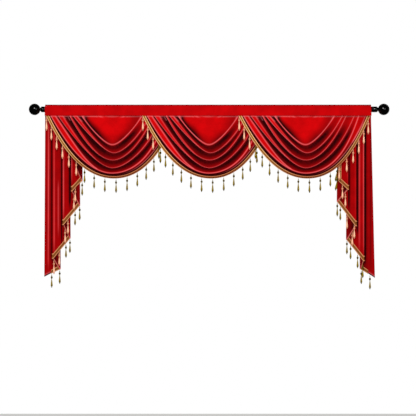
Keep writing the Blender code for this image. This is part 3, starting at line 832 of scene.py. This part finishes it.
def tailSection(stations, z, flutes):
    # x and y of every station at each height: plies between front and back, with a
    # half-round turn at each bend, and flutes on the plies that face the front
    down = np.clip((tail["free"] - z) / tail["long"], 0.0, 1.0)
    turn = tail["turnTop"] + tail["turnGrows"] * down ** tail["opens"]
    spread = tail["spreadTop"] + tail["spreadGrows"] * down ** tail["opens"]
    number, top, foot, share, turned, sideways = np.moveaxis(stations, -1, 0)
    x = top + (foot - top) * down + sideways * turn
    y = tail["frontY"] - tail["lean"] * down + share * spread + turned * turn
    ply = np.floor(number)
    faces = (ply % 2 == 0) * np.sin(np.pi * (number - ply)) ** 0.5
    for at, wide, high, start, end in flutes:
        y = y - high * fluteAt(x, z, at, wide, start, end) * faces
    return np.stack([x, y, z], axis=-1)


def tailShading(stations, points, edge, plain, flutes):
    # Painted shade darkens the front plies where they go behind the next one and in their
    # grooves, and painted highlights lie on their flutes. Return plies get the most painted shade
    # near their front bend, and a painted highlight along the hem. plain is 1 where the hem has no
    # braid, and there gets a painted dark band with a painted highlight over it
    share = stations[:, 3]
    faces = np.floor(stations[:, 0]) % 2 == 0
    x, z = points[..., 0], points[..., 2]
    up = z - edge
    shade = np.where(faces, tail["shade"] + 0.6 * share**3, 0.9 - 0.4 * share) * np.ones_like(z)
    crest = 0.8 * bell(up - 3.0, 4.0) * ~faces
    for at, wide, high, start, end in flutes:
        narrow, middle, broad = (fluteAt(x, z, at, part * wide, start, end) * faces
                                 for part in (0.28, 0.5, 0.6))
        crest = crest + 0.09 * max(high, 0.0) * narrow
        shade = shade - 0.07 * max(high, 0.0) * middle
        shade = shade + 0.16 * max(-high, 0.0) * broad
    shade = shade + 0.9 * plain * bell(up - 1.0, 5.5)
    crest = crest + 0.5 * plain * bell(up - 10.5, 2.5)
    return np.clip(shade, 0.0, 1.0), np.clip(crest, 0.0, 1.0)


def tailNormals(points, sign, axis=-2):
    # Level, away from the cloth's face
    along = unit(np.gradient(points[..., :2], axis=axis))
    normal = np.zeros_like(points)
    normal[..., 0] = sign * along[..., 1]
    normal[..., 1] = -sign * along[..., 0]
    return normal


def makeEdgeBraid(side, stations, length, flutes):
    # A braid that runs up the tail's inner edge
    low, high = tail["edgeBraid"][side]
    z = np.arange(low, high, braid["step"])

    def bandAt(v):
        place = length[-1] - 0.5 * braid["wide"] + v
        spots = readAt(place, length, stations)
        return tailSection(spots, np.broadcast_to(z, v.shape), flutes)

    centre = bandAt(np.zeros((1, len(z))))[0]
    # an even painted shade on the edge braid
    strip = braidStrip("tail_edge_braid_" + side, centre, bandAt,
                       lambda v: tailNormals(bandAt(v), -1.0, axis=0),
                       lambda v: np.full_like(v, 0.3))
    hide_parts("tail_trim_" + side)
    return strip


def makeTail(side, random):
    bends = np.array(tailBends[side], dtype=float)
    flutes = tailFlutes[side]
    sign = 1.0 if side == "left" else -1.0
    stations = tailStations(bends)
    hem = np.interp(stations[:, 0], np.arange(len(bends)), bends[:, 3])
    foot = tailSection(stations, hem, flutes)
    length = lengthAlong(foot[:, :2])
    bendLength = np.interp(np.arange(len(bends)), stations[:, 0], length)
    slope = np.diff(bends[:, 3]) / np.diff(bendLength)
    slope = np.interp(stations[:, 0], np.arange(len(slope)) + 0.5, slope)
    half = 0.5 * tail["braidWide"] * np.hypot(1.0, slope)

    # Rows down to the hem, closer together in the strip that is turned up
    edge = hem - half + braid["pastHem"]
    down = np.linspace(0.0, 1.0, tail["rows"])[:, None]
    fold = np.linspace(tail["turnUp"], 0.0, 9)[1:, None]
    z = np.concatenate([
        tail["top"] + (edge + tail["turnUp"] - tail["top"]) * down, edge + fold,
    ])
    points = tailSection(stations, z, flutes)
    plain = 1.0 - smoothStep(length, tail["bareHem"] - 2.0, tail["bareHem"] + 4.0)
    shades, crests = tailShading(stations, points, edge, plain, flutes)
    if side == "right":
        points, shades, crests = points[:, ::-1], shades[:, ::-1], crests[:, ::-1]
    cloth = makePiece("tail_cloth_" + side, points.reshape(-1, 3), gridQuads(*z.shape), velvet,
                      {"foldShade": shades, "paintedHighlight": crests})
    thicken(cloth, clothThick)
    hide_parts("tail_" + side)

    cells = int((length[-1] - tail["bareHem"]) / braid["step"])
    place = np.linspace(tail["bareHem"], length[-1], cells)
    fine = readAt(place, length, stations)
    fineHem = np.interp(place, length, hem)
    fineHalf = np.interp(place, length, half)
    if side == "right":
        fine, fineHem, fineHalf = fine[::-1], fineHem[::-1], fineHalf[::-1]
    centre = tailSection(fine, fineHem, flutes)

    def bandAt(v):
        return tailSection(fine, fineHem + 2.0 * fineHalf * v / braid["wide"], flutes)

    strip = braidStrip("tail_braid_" + side, centre, bandAt,
                       lambda v: tailNormals(bandAt(v), 1.0),
                       lambda v: np.full_like(v, tail["under"]))
    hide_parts("tail_trim_" + side)
    if side in tail["edgeBraid"]:
        makeEdgeBraid(side, stations, length, flutes)

    root = tailSection(stations, hem - half, flutes)
    root = root + tailNormals(root, sign) * drops["offCloth"] + (0.0, 0.0, drops["onBraid"])
    hemLength = lengthAlong(np.column_stack([length, hem]))
    tops = readAt(np.array(tailDrops[side], dtype=float), hemLength, root)
    swings = np.zeros((len(tops), 2))
    if side in tail["edgeDrops"]:
        heights = np.array(tail["edgeDrops"][side])
        beside = tailSection(np.repeat(stations[-1:], len(heights), axis=0), heights, flutes)
        tops = np.concatenate([tops, beside + (sign * tail["edgeOff"], -1.0, 0.0)])
        swings = np.concatenate([swings, [(sign * tail["edgeSwing"], 0.0)] * len(heights)])
    beads = hangDrops("tail_beads_" + side, tops, swings, random)
    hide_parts("tail_trim_" + side)


# Rod pocket

pocket = {
    "long": 2000.0,
    "ply": 2.0,
    "aroundRod": 15.3,   # radius of the cloth's middle where it rounds the rod
    "creaseZ": 29.2,     # the sharp upper edge
    "frontY": -19.9,
    "backY": 9.0,
    "flatZ": -29.0,
    "edgeZ": -40.0,
    "grooveZ": -35.5,    # the line of stitches above the seam
    "grooveDeep": 0.3,
    "endHemAt": 988.0,   # the stitched hem at each end
    "endHemHigh": 0.6,
    "ripples": 5,
    "rippleHigh": 0.35,
    "columns": 300,
    "across": 90,
}


def makePocket(random):
    # One section, up the back, over the rod to the crease and down the front to the
    # seam, carried along X, with slow ripples and a stitched groove above the seam
    tangent = np.arccos(pocket["aroundRod"] / pocket["creaseZ"])
    bend = np.linspace(np.radians(112.0), tangent, 10)
    shoulder = np.column_stack([np.sin(bend), np.cos(bend)]) * pocket["aroundRod"]
    corners = np.concatenate([
        [(pocket["backY"], pocket["edgeZ"]), (pocket["backY"], pocket["flatZ"])], shoulder,
        [(0.0, pocket["creaseZ"])], shoulder[::-1] * (-1, 1),
        [(pocket["frontY"], pocket["flatZ"]), (pocket["frontY"], pocket["edgeZ"])],
    ])
    length = lengthAlong(corners)
    place = np.linspace(0.0, length[-1], pocket["across"])
    section = soften(readAt(place, length, corners), 2)
    x = np.linspace(-0.5, 0.5, pocket["columns"]) * pocket["long"]
    grid = np.empty((len(section), len(x), 3))
    grid[..., 0] = x
    grid[..., 1:] = section[:, None, :]
    z = grid[..., 2]
    front = (place > 0.5 * length[-1])[:, None] * 1.0
    hang = np.clip((pocket["creaseZ"] - z) / 60.0, 0.0, 1.0)
    for waves, phase in random.uniform((3.0, 0.0), (17.0, 6.28), (pocket["ripples"], 2)):
        ripple = 1.0 + np.sin(2.0 * np.pi * waves * x / pocket["long"] + phase)
        grid[..., 1] -= pocket["rippleHigh"] * front * hang * ripple
    grid[..., 1] += front * pocket["grooveDeep"] * bell(z - pocket["grooveZ"], 1.6)
    grid[..., 1] -= front * pocket["endHemHigh"] * bell(np.abs(x) - pocket["endHemAt"], 4.0)
    # painted shade: the whole header a little darker, and a dark line along its top crease
    shades = 0.17 + 0.78 * bell(z - pocket["creaseZ"] + 1.0, 4.5) * np.ones_like(front)
    quads = gridQuads(*grid.shape[:2])[:, ::-1]
    cloth = makePiece("header_pocket_cloth", grid.reshape(-1, 3), quads, velvet,
                      {"foldShade": np.broadcast_to(shades, grid.shape[:2])})
    thicken(cloth, pocket["ply"])
    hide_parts("header_pocket")


# Finials and rod

finial = {
    "face": 1002.0,          # the collar's open end, from the valance's middle
    "ball": 35.0,            # these and the next are radii
    "collar": 17.5,
    "neck": 10.0,
    "bore": 14.5,
    "collarLong": {"left": 25.5, "right": 38.5},
    "shoulder": 8.0,
    "neckLong": 4.0,
    "boreDeep": 20.3,
    "sides": 64,
}


def makeFinial(side):
    # A profile of distance and radius turned about X: bore, collar with a rounded
    # shoulder, neck and ball
    long, ball, collar = finial["collarLong"][side], finial["ball"], finial["collar"]
    deep, hole, high = finial["boreDeep"], finial["bore"], finial["shoulder"]
    start = np.arcsin(finial["neck"] / ball)
    middle = long + finial["neckLong"] + ball * np.cos(start)
    angle = np.linspace(start, np.pi, 40)
    globe = np.column_stack([middle - ball * np.cos(angle), ball * np.sin(angle)])
    globe[-1, 1] = 0.0
    bend = np.linspace(0.0, 0.5 * np.pi, 12)
    shoulder = np.column_stack([long - high + high * np.sin(bend),
                                finial["neck"] + (collar - finial["neck"]) * np.cos(bend)])
    # The bore's floor and wall, the open end with its rounded edges, and a groove
    bore = np.array([
        (deep, 0.0), (deep, hole), (0.3, hole), (0.0, hole + 0.3),
        (0.0, collar - 1.2), (0.3, collar - 0.4), (1.2, collar),
        (5.0, collar), (5.6, collar - 0.8), (6.4, collar - 0.8), (7.0, collar),
    ])
    distance, radius = np.concatenate([bore, shoulder, globe]).T
    sign = 1.0 if side == "right" else -1.0
    turn = 2.0 * np.pi * np.arange(finial["sides"]) / finial["sides"] * sign
    points = np.stack([
        np.repeat(sign * (finial["face"] + distance)[:, None], len(turn), axis=1),
        radius[:, None] * np.cos(turn), radius[:, None] * np.sin(turn),
    ], axis=-1)
    quads = gridQuads(len(distance), len(turn), wrap=True)[:, ::-1]
    item = makePiece("finial_ball_" + side, points.reshape(-1, 3), quads, enamel)
    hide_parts("finial_" + side)


random = np.random.default_rng(7)
makePocket(random)
print("rod pocket made")
for side in ("left", "middle", "right"):
    makeSwag(side, random)
print("swags made")
for side in ("left", "right"):
    makeTail(side, random)
print("tails made")
for side in ("left", "right"):
    makeFinial(side)
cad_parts["rod"].data.materials.clear()
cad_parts["rod"].data.materials.append(enamel)
print("rod and finials made")


# Floor, light and camera

stage = {
    # Metres, and the lens in millimetres
    "floorAt": (0.0, -1.2, -2.1),
    "floorSize": 5.0,
    "cameraAt": (-0.0006, -7.094, -0.6054),
    "lens": 100.0,
    "sky": 0.55,
    "glossSky": 0.05,        # share of it that gloss reflects
    # Place, aim, size and power in watts
    "key": ((-0.6, -4.5, 1.6), (0.0, 0.0, -0.5), 1.2, 130.0),     # from the upper left
    "fill": ((2.2, -4.0, 0.4), (0.0, 0.0, -0.5), 1.6, 30.0),      # softens it on the right
}


def addLight(name, place, aim, size, power):
    data = bpy.data.lights.new(name, "AREA")
    data.size = size
    data.energy = power
    item = bpy.data.objects.new(name, data)
    item.location = place
    way = np.array(aim) - np.array(place)
    item.rotation_euler = (np.arctan2(np.hypot(way[0], way[1]), -way[2]), 0.0,
                           np.arctan2(-way[0], way[1]))
    bpy.context.scene.collection.objects.link(item)


floorFinish = {"Base Color": linear("#F2F1EF"), "Roughness": 0.9}
floorMaterial, _, _ = newMaterial("pale_floor", floorFinish)
bpy.ops.mesh.primitive_plane_add(size=stage["floorSize"], location=stage["floorAt"])
floor = bpy.context.object
floor.name = "floor"
floor.visible_glossy = False
floor.data.materials.append(floorMaterial)

# The background is seen white, lights with the sky's strength, and hardly shows in gloss
world = bpy.data.worlds.new("studio")
world.use_nodes = True
tree = world.node_tree
white = linear("#FFFFFF")
sky = tree.nodes["Background"]
sky.inputs["Color"].default_value = white
seen = addNode(tree, "Background", {"Strength": 1.0, "Color": white})
ray = addNode(tree, "LightPath")
dimmer = (stage["glossSky"] - 1.0) * stage["sky"]
dim = addNode(tree, "Math", {1: dimmer, 2: stage["sky"]}, {0: ray.outputs["Is Glossy Ray"]},
              operation="MULTIPLY_ADD")
tree.links.new(dim.outputs[0], sky.inputs["Strength"])
mixed = addNode(tree, "MixShader", links={0: ray.outputs["Is Camera Ray"], 1: sky.outputs[0],
                                          2: seen.outputs[0]})
tree.links.new(mixed.outputs[0], tree.nodes["World Output"].inputs[0])
bpy.context.scene.world = world
bpy.context.scene.view_settings.view_transform = "Standard"

for name in ("key", "fill"):
    addLight(name, *stage[name])

cameraData = bpy.data.cameras.new("camera")
cameraData.lens = stage["lens"]
camera = bpy.data.objects.new("camera", cameraData)
camera.location = stage["cameraAt"]
camera.rotation_euler = (0.5 * np.pi, 0.0, 0.0)
bpy.context.scene.collection.objects.link(camera)
bpy.context.scene.camera = camera
print("stage, lights and camera made")
